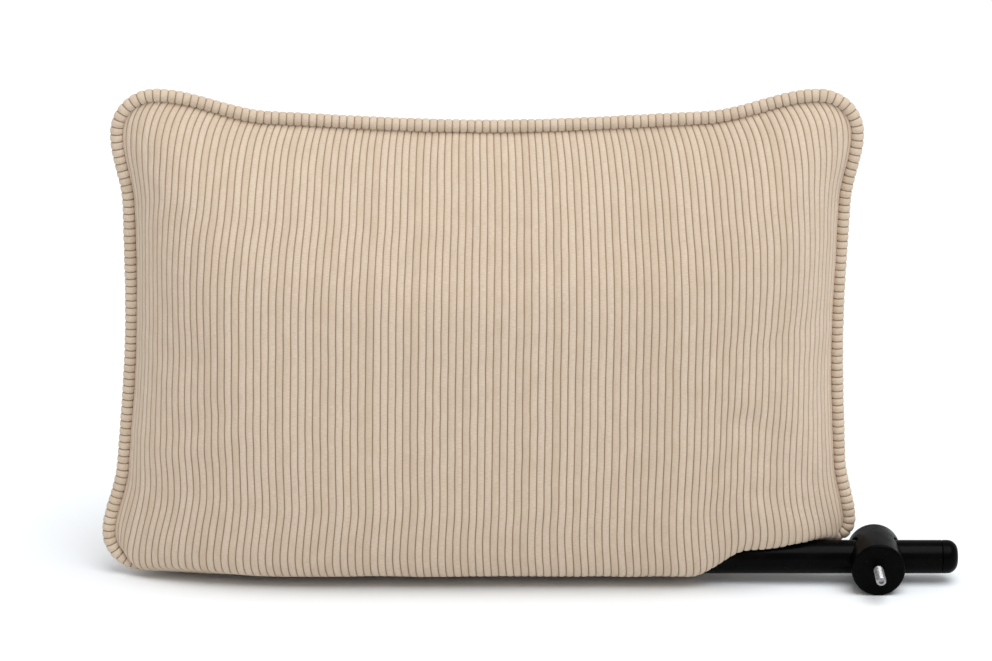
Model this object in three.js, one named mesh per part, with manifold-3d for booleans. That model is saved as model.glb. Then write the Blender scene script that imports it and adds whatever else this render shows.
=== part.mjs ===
// Lumbar support cushion on a mounting bar.
// A piped corduroy cushion is built round a welded hoop that stands on a horizontal tube. The tube leaves the
// cushion low at its right end, and a round clamp block slides and turns on it. A threaded stud in the block
// grips the tube, and its free end screws into the seat frame.
// Millimetres. +X is to the right seen from the front, +Y to the back, +Z up. The cushion stands on Z = 0.

import * as THREE from "three";
import { mergeVertices } from "three/addons/utils/BufferGeometryUtils.js";
import Module from "manifold-3d";

const wasm = await Module();
wasm.setup();

// ---- Driving dimensions -------------------------------------------------------------------------------

const GAP = 0.3; // clearance between neighbouring solids

const BAR_RADIUS = 13.45;
const BAR_WALL = 1.5;
const BAR_HEIGHT = 21.3; // axis above the floor, the same as the clamp block's radius
const BAR_LEFT = -176; // ends of the tube
const BAR_RIGHT = 368;
const CAP_HEAD = 13; // length of an end cap outside the tube
const CAP_STEM = 22; // and inside it
const CAP_ROUND = 9; // edge radius of the head

const BLOCK_RADIUS = 21.3;
const BLOCK_FRONT = -34; // its two ends, from the bar's axis
const BLOCK_BACK = 20;
const BLOCK_ROUND = 3;
const BLOCK_X = 315;
const BUSH_WALL = 1.4;
const BUSH_LENGTH = 26;
const BUSH_SPLIT = 2;

const STUD_RADIUS = 4; // M8
const STUD_TIP = -59; // its front end
const PAD_LENGTH = 2.2; // thrust pad between the stud and the bush
const PAD_RADIUS = 3.6;
const INSERT_RADIUS = 6;
const INSERT_LIP = 1.5; // thickness of the block in front of the insert
const HEX_RADIUS = 2.31; // corner radius of a 4 mm hexagon socket
const HEX_DEPTH = 5;

const SEAM_Y = 19; // plane of the cushion's seam
const FRONT_DEPTH = 74; // crown of each face, measured from the seam plane
const BACK_DEPTH = 62;
const PIPING_RADIUS = 5;
const PIPING_CORE = 3.2; // radius of the space for the cord
const CORD_RADIUS = 2.3;
const ALLOWANCE = [0.5, 1.4]; // near and far side of each layer of the seam allowance, from the seam plane
const COVER_CLOTH = 2;
const LINER_CLOTH = 1;
const LINER_EASE = 8; // room between the cover and the liner
const WADDING = 8;
const EASE = 1.5; // room between the wadding and the foam
const FLANGE = 8; // width of the seam allowance
const SLOT_RADIUS = 15.2; // opening in the covers where the bar comes out

// Corners of the cushion's outer silhouette: centre x, centre z, radius and first angle.
const CORNERS = [
  { x: 263.5, z: 366, radius: 36, from: 0 },
  { x: -256, z: 366, radius: 36, from: 90 },
  { x: -273.5, z: 36, radius: 33, from: 180 },
  { x: 283, z: 45, radius: 17, from: 270 },
];
const CORNER_STEPS = 4;
const LEAST_RADIUS = 4; // of an inner layer's corner
// How far each side pulls in between its corners, and its number of steps: top, left, bottom, right.
const SIDES = [
  { pull: 25, steps: 12 },
  { pull: 15, steps: 8 },
  { pull: 0, steps: 10 },
  { pull: 12.5, steps: 8 },
];
const HORN_REACH = 0.17; // share of a side over which its corners stand out
const HORN_PART = 0.62; // share of the pull reached there
const STEP_START = 165; // the bottom edge climbs over the bar between these
const STEP_END = 212;
const BOTTOM_STATIONS = [0.14, 0.28, 0.42, 0.56, 0.7, 0.8, 0.845, 0.895, 0.94];
const CROWDING = 0.08; // how far a side's points crowd towards its corners
const CENTRE = { x: 0, z: 200 };
const RINGS = [1, 0.99, 0.95, 0.87, 0.75, 0.55]; // from the seam towards the crown
// The crown's profile across and up and down: its least half width, its power, and its root at the lower or
// left rim and at the upper or right rim. A smaller root is fuller.
const ACROSS = { rim: 262, power: 8, root: [0.83, 0.83] };
const UPRIGHT = { rim: 160, power: 3, root: [0.34, 1.05] };
const SAG = 20; // how far the filling sinks below the bottom seam
const SAG_DEPTH = 12;
const SAG_FADE = [20, 110];

const HOOP_RADIUS = 6;
const HOOP_Y = 9;
const HOOP_HALF_WIDTH = 155;
const HOOP_TOP = 300;
const HOOP_BEND = 45;
const STRAP_WIDTH = 44;
const STRAP_THICKNESS = 2;
const STRAP_HEIGHTS = [80, 138, 196, 254];
const POCKET = { halfWidth: 170, bottom: 30, top: 325, front: -0.5 };

const ZIP_LEFT = -145;
const ZIP_RIGHT = 115;
const ZIP_RING = 3; // it lies between this ring of the back cover and the next
const ZIP_SLOT = 4.2; // half width of the opening
const TAPE_WIDTH = 12;
const TAPE_THICKNESS = 0.8;
const TEETH_WIDTH = 2.3;

// ---- Materials ----------------------------------------------------------------------------------------

const material = (color, roughness, metalness = 0) =>
  new THREE.MeshStandardMaterial({ color, roughness, metalness });
const corduroy = material(0xd8c2a8, 0.9);
const cotton = material(0xece6da, 0.95);
const wadding = material(0xf6f5f0, 1);
const foam = material(0xe9dfb8, 1);
const webbing = material(0x3b3a38, 0.9);
const steelBlack = material(0x0b0b0c, 0.3, 0.4);
const plasticBlack = material(0x0a0a0a, 0.45);
const zinc = material(0xb9bcc0, 0.35, 1);
const brass = material(0xb5964c, 0.35, 1);
const nylon = material(0xe8e6dd, 0.6);
const zipCloth = material(0xcdb59a, 0.9);

const cushion = new THREE.Group();

function add(name, geometry, look, parent = cushion) {
  const mesh = new THREE.Mesh(geometry, look);
  mesh.name = name;
  parent.add(mesh);
  return mesh;
}

// ---- Solids -------------------------------------------------------------------------------------------

// A closed geometry as a manifold-3d solid.
function solid(geometry) {
  const bare = new THREE.BufferGeometry().setAttribute(
    "position",
    (geometry.index ? geometry.toNonIndexed() : geometry).getAttribute("position"),
  );
  const merged = mergeVertices(bare, 1e-3);
  return new wasm.Manifold(
    new wasm.Mesh({
      numProp: 3,
      vertProperties: merged.attributes.position.array,
      triVerts: new Uint32Array(merged.index.array),
    }),
  );
}

function geometryOf(body) {
  const mesh = body.getMesh();
  return new THREE.BufferGeometry()
    .setAttribute("position", new THREE.BufferAttribute(mesh.vertProperties, 3))
    .setIndex(new THREE.BufferAttribute(mesh.triVerts, 1));
}

function cut(geometry, ...tools) {
  let body = solid(geometry);
  for (const tool of tools) body = body.subtract(solid(tool));
  return geometryOf(body);
}

const turned = (geometry, axis, degrees) =>
  geometry.applyMatrix4(
    new THREE.Matrix4().makeRotationAxis(axis, THREE.MathUtils.degToRad(degrees)),
  );
const AXIS_X = new THREE.Vector3(1, 0, 0);
const AXIS_Z = new THREE.Vector3(0, 0, 1);

// Solids of revolution: lathe profiles are [radius, height] pairs, and the axis is Y before turning.
const lathe = (profile, segments) =>
  new THREE.LatheGeometry(
    profile.map(([radius, height]) => new THREE.Vector2(radius, height)),
    segments,
  );
const alongX = (geometry) => turned(geometry, AXIS_Z, -90);

function box(low, high) {
  const size = high.map((value, i) => value - low[i]);
  const middle = high.map((value, i) => (value + low[i]) / 2);
  return new THREE.BoxGeometry(...size).translate(...middle);
}

// A rod along X round the bar's axis.
const rodOnBar = (radius, from, to, segments = 24) =>
  alongX(lathe([[0, from], [radius, from], [radius, to], [0, to]], segments)).translate(0, 0, BAR_HEIGHT);

// Joins rings of equal length into a surface. A cyclic list closes on itself, and any other ends in two points.
// From the ring at the turn on, each four-sided cell is split along its other diagonal.
function ringSurface(rings, ends, turn = Infinity) {
  const points = rings.flat();
  const count = rings[0].length;
  const faces = [];
  const last = ends ? rings.length - 1 : rings.length;
  for (let ring = 0; ring < last; ring++) {
    const here = ring * count;
    const there = ((ring + 1) % rings.length) * count;
    for (let i = 0; i < count; i++) {
      const next = (i + 1) % count;
      const [a, b, c, d] = [here + i, here + next, there + next, there + i];
      faces.push(...(ring < turn ? [a, b, d, b, c, d] : [a, b, c, a, c, d]));
    }
  }
  if (ends) {
    const first = points.push(ends[0]) - 1;
    const final = points.push(ends[1]) - 1;
    const finalRing = last * count;
    for (let i = 0; i < count; i++) {
      const next = (i + 1) % count;
      faces.push(first, next, i, final, finalRing + i, finalRing + next);
    }
  }
  return new THREE.BufferGeometry()
    .setAttribute("position", new THREE.Float32BufferAttribute(points.flat(), 3))
    .setIndex(faces);
}

const flipped = (geometry) => {
  const index = geometry.index.array;
  for (let i = 0; i < index.length; i += 3) [index[i], index[i + 1]] = [index[i + 1], index[i]];
  return geometry;
};

// ---- The cushion's outline and crown ------------------------------------------------------------------

const smooth = (from, to, value) => THREE.MathUtils.smoothstep(value, from, to);

// How much of a side's pull it has at a share t of its length.
function pullShare(t) {
  const near = Math.min(t, 1 - t);
  return HORN_PART * smooth(0, HORN_REACH, near) + (1 - HORN_PART) * smooth(0, 0.5, near);
}

// Points of the outline, inset from the outer silhouette, anticlockwise seen from the front.
function outline(inset) {
  const points = [];
  CORNERS.forEach((corner, index) => {
    const arc = (step, at = corner) => {
      const angle = THREE.MathUtils.degToRad(at.from + (90 * step) / CORNER_STEPS);
      // A corner whose radius is used up moves inwards.
      const radius = Math.max(at.radius - inset, LEAST_RADIUS);
      const moved = radius - (at.radius - inset);
      return [
        at.x - Math.sign(at.x) * moved + radius * Math.cos(angle),
        at.z - Math.sign(at.z - CENTRE.z) * moved + radius * Math.sin(angle),
      ];
    };
    for (let step = 0; step <= CORNER_STEPS; step++) points.push(arc(step));
    const side = SIDES[index];
    const start = arc(CORNER_STEPS);
    const end = arc(0, CORNERS[(index + 1) % CORNERS.length]);
    for (let step = 1; step < side.steps; step++) {
      const even = step / side.steps;
      const t = even - CROWDING * Math.sin(2 * Math.PI * even);
      const pull = side.pull * pullShare(t);
      let x = THREE.MathUtils.lerp(start[0], end[0], t);
      let z = THREE.MathUtils.lerp(start[1], end[1], t);
      if (index === 0) z -= pull;
      if (index === 1) x += pull;
      if (index === 2) {
        // The bottom edge lies level, then climbs over the bar.
        x = THREE.MathUtils.lerp(start[0], end[0], BOTTOM_STATIONS[step - 1]);
        z = start[1] + (end[1] - start[1]) * smooth(STEP_START, STEP_END, x);
      }
      if (index === 3) x -= pull;
      points.push([x, z]);
    }
  });
  return points;
}

// The crown's height along one direction. rimPlace is where the rim lies that way, from the centre.
function rise({ rim, power, root }, rimPlace, ring) {
  const place = ring * Math.min(1, Math.abs(rimPlace) / rim);
  return Math.pow(1 - Math.pow(place, power), THREE.MathUtils.lerp(...root, smooth(-rim, rim, rimPlace)));
}

// One face of a padded form: rings from its rim to near its crown, and the crown's point.
// side is -1 for the front and 1 for the back. Height and sag follow the outermost layer, so layers nest.
function crown(side, inset, depth, floor) {
  const rim = outline(inset);
  const outermost = outline(SEAM_INSET);
  const clear = ALLOWANCE[1] + GAP;
  const inward = ([x, z], ring) => [CENTRE.x + (x - CENTRE.x) * ring, CENTRE.z + (z - CENTRE.z) * ring];
  const place = (index, ring) => {
    const [x, z] = inward(rim[index], ring);
    const [outerX, outerZ] = inward(outermost[index], ring);
    const [rimX, rimZ] = outermost[index];
    const height = rise(ACROSS, rimX - CENTRE.x, ring) * rise(UPRIGHT, rimZ - CENTRE.z, ring);
    const thick = (depth - clear) * height;
    const over = 1 - smooth(STEP_START, STEP_END, outerX);
    const sink = SAG * over * smooth(0, SAG_DEPTH, thick) * (1 - smooth(...SAG_FADE, outerZ));
    return [x, SEAM_Y + side * (clear + thick), Math.max(z - sink, Math.min(z, floor))];
  };
  const rings = RINGS.map((ring) => rim.map((_, index) => place(index, ring)));
  return { rings, top: place(0, 0) };
}

// A dished shell of one face, its outer and inner surfaces joined at the rim.
function shell(side, inset, depth, thickness, floor = inset - SEAM_INSET) {
  const outer = crown(side, inset, depth, floor);
  const inner = crown(side, inset + thickness, depth - thickness, floor + thickness);
  const ends = [outer.top, inner.top];
  const surface = ringSurface([...outer.rings.reverse(), ...inner.rings], ends, RINGS.length);
  return side > 0 ? surface : flipped(surface);
}

// A solid pad of one face with a flat side on the seam plane.
function pad(side, inset, depth) {
  const outer = crown(side, inset, depth, inset);
  const plane = outer.rings[0][0][1];
  const flat = outer.rings[0].map(([x, , z]) => [(x + CENTRE.x) / 2, plane, (z + CENTRE.z) / 2]);
  const middle = [CENTRE.x, plane, CENTRE.z];
  const surface = ringSurface([...outer.rings.reverse(), flat], [outer.top, middle]);
  return side > 0 ? surface : flipped(surface);
}

// A section swept round the outline. Its points are [outwards, y] from the piping's centre.
function roundOutline(section) {
  const loops = section.map(([outwards]) => outline(PIPING_RADIUS - outwards));
  const rings = loops[0].map((_, k) =>
    section.map(([, y], i) => [loops[i][k][0], SEAM_Y + y, loops[i][k][1]]),
  );
  return ringSurface(rings, null);
}

// ---- Soft parts ---------------------------------------------------------------------------------------

const SEAM_INSET = 2 * PIPING_RADIUS + 1;
const LINER_INSET = SEAM_INSET + COVER_CLOTH + LINER_EASE; // the zip's tapes lie between the cover and the liner
const WADDING_INSET = LINER_INSET + LINER_CLOTH + GAP;
const FOAM_INSET = WADDING_INSET + WADDING + EASE;
const layerDepth = (depth, inset) => depth - (inset - SEAM_INSET);

// The zip's own frame: x along the zip, y out of the cover, z up the cover.
function zipFrame() {
  const lower = (ring) =>
    ring
      .filter((point) => point[2] < CENTRE.z)
      .reduce((best, point) => (Math.abs(point[0]) < Math.abs(best[0]) ? point : best));
  const rings = crown(1, SEAM_INSET, BACK_DEPTH, 0).rings;
  const [, y1, z1] = lower(rings[ZIP_RING]);
  const [, y2, z2] = lower(rings[ZIP_RING + 1]);
  const frame = new THREE.Group();
  frame.position.set(0, (y1 + y2) / 2, (z1 + z2) / 2);
  frame.rotation.x = -Math.atan2(y2 - y1, z2 - z1);
  frame.updateMatrix();
  cushion.add(frame);
  return frame;
}
const zip = zipFrame();

function covers() {
  const slot = rodOnBar(SLOT_RADIUS, STEP_START - 15, 400);
  add("front_cover", cut(shell(-1, SEAM_INSET, FRONT_DEPTH, COVER_CLOTH), slot), corduroy);
  const opening = box([ZIP_LEFT, -6, -ZIP_SLOT], [ZIP_RIGHT, 8, ZIP_SLOT]).applyMatrix4(zip.matrix);
  add("back_cover", cut(shell(1, SEAM_INSET, BACK_DEPTH, COVER_CLOTH), opening, slot), corduroy);
}

function piping() {
  const round = (radius, angles) =>
    angles.map((degrees) => {
      const angle = THREE.MathUtils.degToRad(degrees);
      return [radius * Math.cos(angle), radius * Math.sin(angle)];
    });
  const outside = [-154, -110, -66, -22, 22, 66, 110, 154];
  const inside = [150, 90, 30, -30, -90, -150];
  const tail = -PIPING_RADIUS - FLANGE;
  const [near, far] = ALLOWANCE;
  const wrap = [
    [tail, -far],
    [-PIPING_RADIUS, -far],
    ...round(PIPING_RADIUS, outside),
    [-PIPING_RADIUS, far],
    [tail, far],
    [tail, near],
    ...round(PIPING_CORE, inside),
    [tail, -near],
  ];
  add("piping_cover", roundOutline(wrap), corduroy);
  const cord = round(CORD_RADIUS, [-120, -60, 0, 60, 120, 180]);
  add("piping_cord", roundOutline(cord), cotton);
}

function filling() {
  const tunnel = rodOnBar(SLOT_RADIUS + 0.4, BAR_LEFT - CAP_HEAD - 6, 400);
  const channel = box([BAR_LEFT - CAP_HEAD - 6, -16, -10], [400, SEAM_Y + 20, BAR_HEIGHT + SLOT_RADIUS]);
  const pocket = box(
    [-POCKET.halfWidth, POCKET.front, POCKET.bottom],
    [POCKET.halfWidth, SEAM_Y + 1, POCKET.top],
  );
  const overBar = box([-320, -60, -10], [320, 90, BAR_HEIGHT + BAR_RADIUS + 1]);
  const faces = [
    { name: "front", side: -1, depth: FRONT_DEPTH },
    { name: "back", side: 1, depth: BACK_DEPTH },
  ];
  for (const { name, side, depth } of faces) {
    const liner = shell(side, LINER_INSET, layerDepth(depth, LINER_INSET), LINER_CLOTH);
    add(`liner_${name}`, cut(liner, tunnel), cotton);
    const quilt = shell(side, WADDING_INSET, layerDepth(depth, WADDING_INSET), WADDING);
    add(`wadding_${name}`, cut(quilt, channel, pocket), wadding);
    const slab = pad(side, FOAM_INSET, layerDepth(depth, FOAM_INSET));
    add(`foam_${name}`, cut(slab, overBar, tunnel, pocket), foam);
  }
}

// ---- Zip ----------------------------------------------------------------------------------------------

function fastening() {
  const length = [ZIP_LEFT + 1, ZIP_RIGHT - 1];
  const tapeOut = -COVER_CLOTH - 2 * GAP;
  for (const [name, side] of [["upper", 1], ["lower", -1]]) {
    const across = (from, to) => [Math.min(side * from, side * to), Math.max(side * from, side * to)];
    const [tapeLow, tapeHigh] = across(0.2, TAPE_WIDTH);
    const tape = box([length[0], tapeOut - TAPE_THICKNESS, tapeLow], [length[1], tapeOut, tapeHigh]);
    add(`zip_tape_${name}`, tape, zipCloth, zip);
    const [low, high] = across(0.1, TEETH_WIDTH);
    const teeth = box([length[0] + 4, tapeOut + 0.1, low], [length[1] - 4, 0, high]);
    add(`zip_teeth_${name}`, teeth, nylon, zip);
  }
  const stop = (x) => box([x, tapeOut + 0.1, -TEETH_WIDTH], [x + 3, 0.4, TEETH_WIDTH]);
  add("zip_stop_left", stop(length[0] + 0.5), zinc, zip);
  add("zip_stop_right", stop(length[1] - 3.5), zinc, zip);

  const x = ZIP_RIGHT - 18; // the slider's left end, at the closed end of the zip
  // The slider's plate, its two side flanges and the bridge that holds the pull.
  const slider = solid(box([x, 0.5, -3.9], [x + 10, 1.6, 3.9]))
    .add(solid(box([x, -1.6, 2.9], [x + 10, 1.0, 3.9])))
    .add(solid(box([x, -1.6, -3.9], [x + 10, 1.0, -2.9])))
    .add(solid(box([x + 1.5, 1.4, -0.8], [x + 8.5, 4.4, 0.8])))
    .subtract(solid(box([x + 3, 1.6, -2], [x + 7, 3.4, 2])));
  add("zip_slider", geometryOf(slider), zinc, zip);

  const plate = solid(box([x - 24, 2, -3.4], [x + 6.1, 3, 3.4]))
    .subtract(solid(box([x + 1, 1, -1.3], [x + 4.9, 5, 1.3])))
    .subtract(solid(box([x - 21, 1, -1.6], [x - 14, 5, 1.6])));
  add("zip_pull", geometryOf(plate), zinc, zip);
}

// ---- Bar, hoop and webbing ----------------------------------------------------------------------------

function tubeBar() {
  const bore = BAR_RADIUS - BAR_WALL;
  const profile = [
    [bore, BAR_LEFT],
    [BAR_RADIUS, BAR_LEFT],
    [BAR_RADIUS, BAR_RIGHT],
    [bore, BAR_RIGHT],
    [bore, BAR_LEFT],
  ];
  add("mounting_bar", alongX(lathe(profile, 32)).translate(0, 0, BAR_HEIGHT), steelBlack);

  const arc = [0, 22.5, 45, 67.5, 90].map((degrees) => {
    const angle = THREE.MathUtils.degToRad(degrees);
    return [
      BAR_RADIUS - CAP_ROUND + CAP_ROUND * Math.cos(angle),
      CAP_HEAD - CAP_ROUND + CAP_ROUND * Math.sin(angle),
    ];
  });
  const stem = bore - GAP;
  const cap = () => lathe([[0, -CAP_STEM], [stem, -CAP_STEM], [stem, GAP], [BAR_RADIUS, GAP], ...arc, [0, CAP_HEAD]], 32);
  add("bar_end_cap_right", alongX(cap()).translate(BAR_RIGHT, 0, BAR_HEIGHT), plasticBlack);
  add(
    "bar_end_cap_left",
    turned(alongX(cap()), AXIS_Z, 180).translate(BAR_LEFT, 0, BAR_HEIGHT),
    plasticBlack,
  );
}

function hoop() {
  const path = new THREE.CurvePath();
  const at = (x, z) => new THREE.Vector3(x, HOOP_Y, z);
  const w = HOOP_HALF_WIDTH;
  const bend = HOOP_TOP - HOOP_BEND;
  path.add(new THREE.LineCurve3(at(-w, 22), at(-w, bend)));
  path.add(new THREE.QuadraticBezierCurve3(at(-w, bend), at(-w, HOOP_TOP), at(-w + HOOP_BEND, HOOP_TOP)));
  path.add(new THREE.LineCurve3(at(-w + HOOP_BEND, HOOP_TOP), at(w - HOOP_BEND, HOOP_TOP)));
  path.add(new THREE.QuadraticBezierCurve3(at(w - HOOP_BEND, HOOP_TOP), at(w, HOOP_TOP), at(w, bend)));
  path.add(new THREE.LineCurve3(at(w, bend), at(w, 22)));

  // The rod follows the path: its ends, and five places round each bend.
  const stations = [[0, 0], [0, 1]];
  for (const t of [0.2, 0.4, 0.6, 0.8, 1]) stations.push([1, t]);
  stations.push([2, 1]);
  for (const t of [0.2, 0.4, 0.6, 0.8, 1]) stations.push([3, t]);
  stations.push([4, 1]);
  const sides = 10;
  const rings = stations.map(([piece, t]) => {
    const curve = path.curves[piece];
    const centre = curve.getPoint(t);
    const along = curve.getTangent(t);
    const inPlane = new THREE.Vector3(-along.z, 0, along.x);
    return Array.from({ length: sides }, (_, i) => {
      const angle = (2 * Math.PI * i) / sides;
      const point = centre
        .clone()
        .addScaledVector(inPlane, HOOP_RADIUS * Math.cos(angle))
        .add(new THREE.Vector3(0, HOOP_RADIUS * Math.sin(angle), 0));
      return point.toArray();
    });
  });
  const rod = flipped(ringSurface(rings, [at(-w, 22).toArray(), at(w, 22).toArray()]));
  add("support_hoop", cut(rod, rodOnBar(BAR_RADIUS + GAP, -300, 300, 32)), steelBlack);

  const band = (radius) => {
    const shape = new THREE.Shape();
    shape.absarc(w, 0, radius, -Math.PI / 2, Math.PI / 2);
    shape.absarc(-w, 0, radius, Math.PI / 2, (3 * Math.PI) / 2);
    return shape;
  };
  STRAP_HEIGHTS.forEach((height, index) => {
    const strap = band(HOOP_RADIUS + GAP + STRAP_THICKNESS);
    strap.holes.push(band(HOOP_RADIUS + GAP));
    const geometry = new THREE.ExtrudeGeometry(strap, {
      depth: STRAP_WIDTH,
      bevelEnabled: false,
      curveSegments: 6,
    }).translate(0, HOOP_Y, height - STRAP_WIDTH / 2);
    add(`webbing_strap_${index + 1}`, geometry, webbing);
  });
}

// ---- Clamp --------------------------------------------------------------------------------------------

function clamp() {
  const round = (end, outwards) =>
    [0, 30, 60, 90].map((degrees) => {
      const angle = THREE.MathUtils.degToRad(degrees);
      const radius = BLOCK_RADIUS - BLOCK_ROUND + BLOCK_ROUND * Math.cos(angle);
      return [radius, end - outwards * BLOCK_ROUND * (1 - Math.sin(angle))];
    });
  const place = (geometry) => geometry.translate(BLOCK_X, 0, BAR_HEIGHT);
  const ends = [...round(BLOCK_FRONT, -1).reverse(), ...round(BLOCK_BACK, 1)];
  const body = lathe([[0, BLOCK_FRONT], ...ends, [0, BLOCK_BACK]], 40);
  const bushInner = BAR_RADIUS + GAP;
  const bushOuter = bushInner + BUSH_WALL;
  const boreRadius = bushOuter + GAP;
  const bore = alongX(lathe([[0, -40], [boreRadius, -40], [boreRadius, 40], [0, 40]], 32));
  const threadBore = STUD_RADIUS + GAP;
  const insertFront = BLOCK_FRONT + INSERT_LIP;
  const insertHole = lathe(
    [
      [0, BLOCK_FRONT - 5],
      [threadBore, BLOCK_FRONT - 5],
      [threadBore, insertFront],
      [INSERT_RADIUS + GAP, insertFront],
      [INSERT_RADIUS + GAP, -5],
      [0, -5],
    ],
    24,
  );
  add("clamp_block", place(cut(body, bore, insertHole)), plasticBlack);

  // The split bush rides on the bar, and the block turns on the bush.
  const bush = [
    [bushInner, -BUSH_LENGTH / 2],
    [bushOuter, -BUSH_LENGTH / 2],
    [bushOuter, BUSH_LENGTH / 2],
    [bushInner, BUSH_LENGTH / 2],
    [bushInner, -BUSH_LENGTH / 2],
  ];
  const split = box([-20, 5, -BUSH_SPLIT / 2], [20, 20, BUSH_SPLIT / 2]);
  add("bore_bush", place(cut(alongX(lathe(bush, 32)), split)), nylon);

  const insertBack = -boreRadius - 0.5;
  const insert = [
    [threadBore, insertFront + GAP],
    [INSERT_RADIUS, insertFront + GAP],
    [INSERT_RADIUS, insertBack],
    [threadBore, insertBack],
    [threadBore, insertFront + GAP],
  ];
  add("threaded_insert", place(lathe(insert, 24)), brass);

  const padBack = -bushOuter - GAP;
  const padFront = padBack - PAD_LENGTH;
  const thrust = [[0, padFront], [PAD_RADIUS, padFront], [PAD_RADIUS, padBack], [0, padBack]];
  add("thrust_pad", place(lathe(thrust, 16)), nylon);

  const studBack = padFront - GAP;
  const chamfer = 0.9;
  const stud = [
    [0, STUD_TIP],
    [STUD_RADIUS - chamfer, STUD_TIP],
    [STUD_RADIUS, STUD_TIP + chamfer],
    [STUD_RADIUS, studBack - chamfer],
    [STUD_RADIUS - chamfer, studBack],
    [0, studBack],
  ];
  const socket = lathe(
    [[0, STUD_TIP - 1], [HEX_RADIUS, STUD_TIP - 1], [HEX_RADIUS, STUD_TIP + HEX_DEPTH], [0, STUD_TIP + HEX_DEPTH]],
    6,
  );
  add("clamp_stud", place(cut(lathe(stud, 20), socket)), zinc);
}

covers();
piping();
filling();
fastening();
tubeBar();
hoop();
clamp();

// The origin is the middle of the object's bounding box, on the floor.
const bounds = new THREE.Box3().setFromObject(cushion);
cushion.position.set(-(bounds.min.x + bounds.max.x) / 2, -(bounds.min.y + bounds.max.y) / 2, -bounds.min.z);

export default cushion;
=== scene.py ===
"""Looks of the lumbar support cushion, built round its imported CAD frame.

Metres. +X is to the right seen from the front, +Y to the back, +Z up, and the floor is Z = 0.
The cushion's two covers are grids whose columns follow the corduroy's ribs, called wales. Each cover is laid
out over the cushion's outline, swollen by a cloth simulation, and then refined into one rounded rib per wale.
"""

import bmesh
import bpy
import numpy as np
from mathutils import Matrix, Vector, noise


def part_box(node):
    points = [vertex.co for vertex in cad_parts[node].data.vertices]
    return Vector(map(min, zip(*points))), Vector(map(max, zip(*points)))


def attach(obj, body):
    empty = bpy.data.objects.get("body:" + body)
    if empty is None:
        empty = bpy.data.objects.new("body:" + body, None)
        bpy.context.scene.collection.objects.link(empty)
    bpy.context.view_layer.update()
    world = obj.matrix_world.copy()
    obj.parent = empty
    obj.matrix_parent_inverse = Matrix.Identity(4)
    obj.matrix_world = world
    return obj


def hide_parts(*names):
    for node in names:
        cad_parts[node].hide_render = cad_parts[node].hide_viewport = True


MM = 0.001

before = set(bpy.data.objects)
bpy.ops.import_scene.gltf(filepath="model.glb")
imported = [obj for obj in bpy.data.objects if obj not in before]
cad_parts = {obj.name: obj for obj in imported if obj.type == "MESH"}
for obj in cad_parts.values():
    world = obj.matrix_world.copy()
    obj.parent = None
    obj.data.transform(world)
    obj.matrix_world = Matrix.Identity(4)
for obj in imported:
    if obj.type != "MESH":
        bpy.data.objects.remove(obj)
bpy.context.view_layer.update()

# ---- Where the CAD frame puts things ------------------------------------------------------------------
# ORIGIN is the cushion's middle, under the bar's axis.

BLOCK_X = 315.0  # the clamp block, from the cushion's middle
block_low, block_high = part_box("clamp_block")
bar_low, bar_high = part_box("mounting_bar")
ORIGIN = Vector(((block_low.x + block_high.x) / 2 - BLOCK_X * MM, (bar_low.y + bar_high.y) / 2, 0.0))
BAR_HEIGHT = (bar_low.z + bar_high.z) / 2 / MM


def span(node, axis):
    """Where a CAD node begins and ends along x, y or z (0, 1 or 2), in millimetres from ORIGIN."""
    low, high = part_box(node)
    return (low[axis] - ORIGIN[axis]) / MM, (high[axis] - ORIGIN[axis]) / MM


def radius_of(node):
    low, high = span(node, 2)
    return (high - low) / 2


GAP = 0.3  # between pieces that touch in life

# ---- The cushion's outline, in millimetres from ORIGIN ------------------------------------------------

SEAM_Y = 19.0
PIPING_RADIUS = 5.0
SEAM_INSET = 9.4  # from the outer edge of the piping to the covers' seam
CORNERS = [  # centre x, centre z, radius, first angle
    (263.5, 366, 36, 0),
    (-256, 366, 36, 90),
    (-273.5, 36, 33, 180),
    (283, 45, 17, 270),
]
PULLS = [25, 15, 0, 13]  # how far the top, left, bottom and right sides pull in
HORN_REACH = 0.17  # share of a side over which its corners stand out
HORN_PART = 0.62  # share of the pull reached there
RISER = (165, 212)  # the bottom edge climbs over the bar between these
OUTLINE_POINTS = 2400

# ---- The covers ---------------------------------------------------------------------------------------

ZIP_LEAN = 0.278  # of the zip's plane from upright, in radians
ZIP_LEFT, ZIP_RIGHT = span("zip_tape_upper", 0)
ZIP_MIDDLE = (66.65, 34.65)  # y and z of the middle of the zip on the cover's outside
ZIP_LIP = 5.0  # half width of its opening
ZIP_TURNS = [(0.0, 2.2), (0.4, 0.9), (1.2, 0.0)]  # how far beyond the lip, and how deep its edge is turned in
ZIP_FLAT = (16, 36)  # the cover leaves the zip's plane between these distances above and below it
ZIP_FLAT_ENDS = (4, 60)  # and between these beyond its ends
ZIP_END_CLOTH = 2.0  # cloth over each end of the tapes

WALES = 106  # across each cover
WALE_HEIGHT = 1.25
WANDER = 0.3  # how far a groove strays sideways
WALE_STEPS = [0.0, 0.09, 0.24, 0.5, 0.76, 0.91]  # vertices across a wale; it starts in a groove
WALE_RISE = [0.0, 0.62, 0.93, 1.0, 0.93, 0.62]
WALE_UNEVEN = 0.22  # share by which a wale's height varies along it
WALE_UNEVEN_SIZE = 14.0
WANDER_SIZE = 18.0
LUMPS = [(0.7, 70.0, 3.1), (0.35, 22.0, 5.7)]  # height, size and seed of each cover's soft unevenness
COVER_ROWS = 148
MESH_CLEAR = 0.1  # least height of a mesh above the floor
FRONT_DEPTH = 70.0  # of the covers before their cloth swells
BACK_DEPTH = 58.0
ACROSS = (8.0, 0.83)  # the crown's profile across: its power and root
UPRIGHT = (3.0, 0.44, 1.05)  # and upright: its power, and its root at the bottom and at the top
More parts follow.
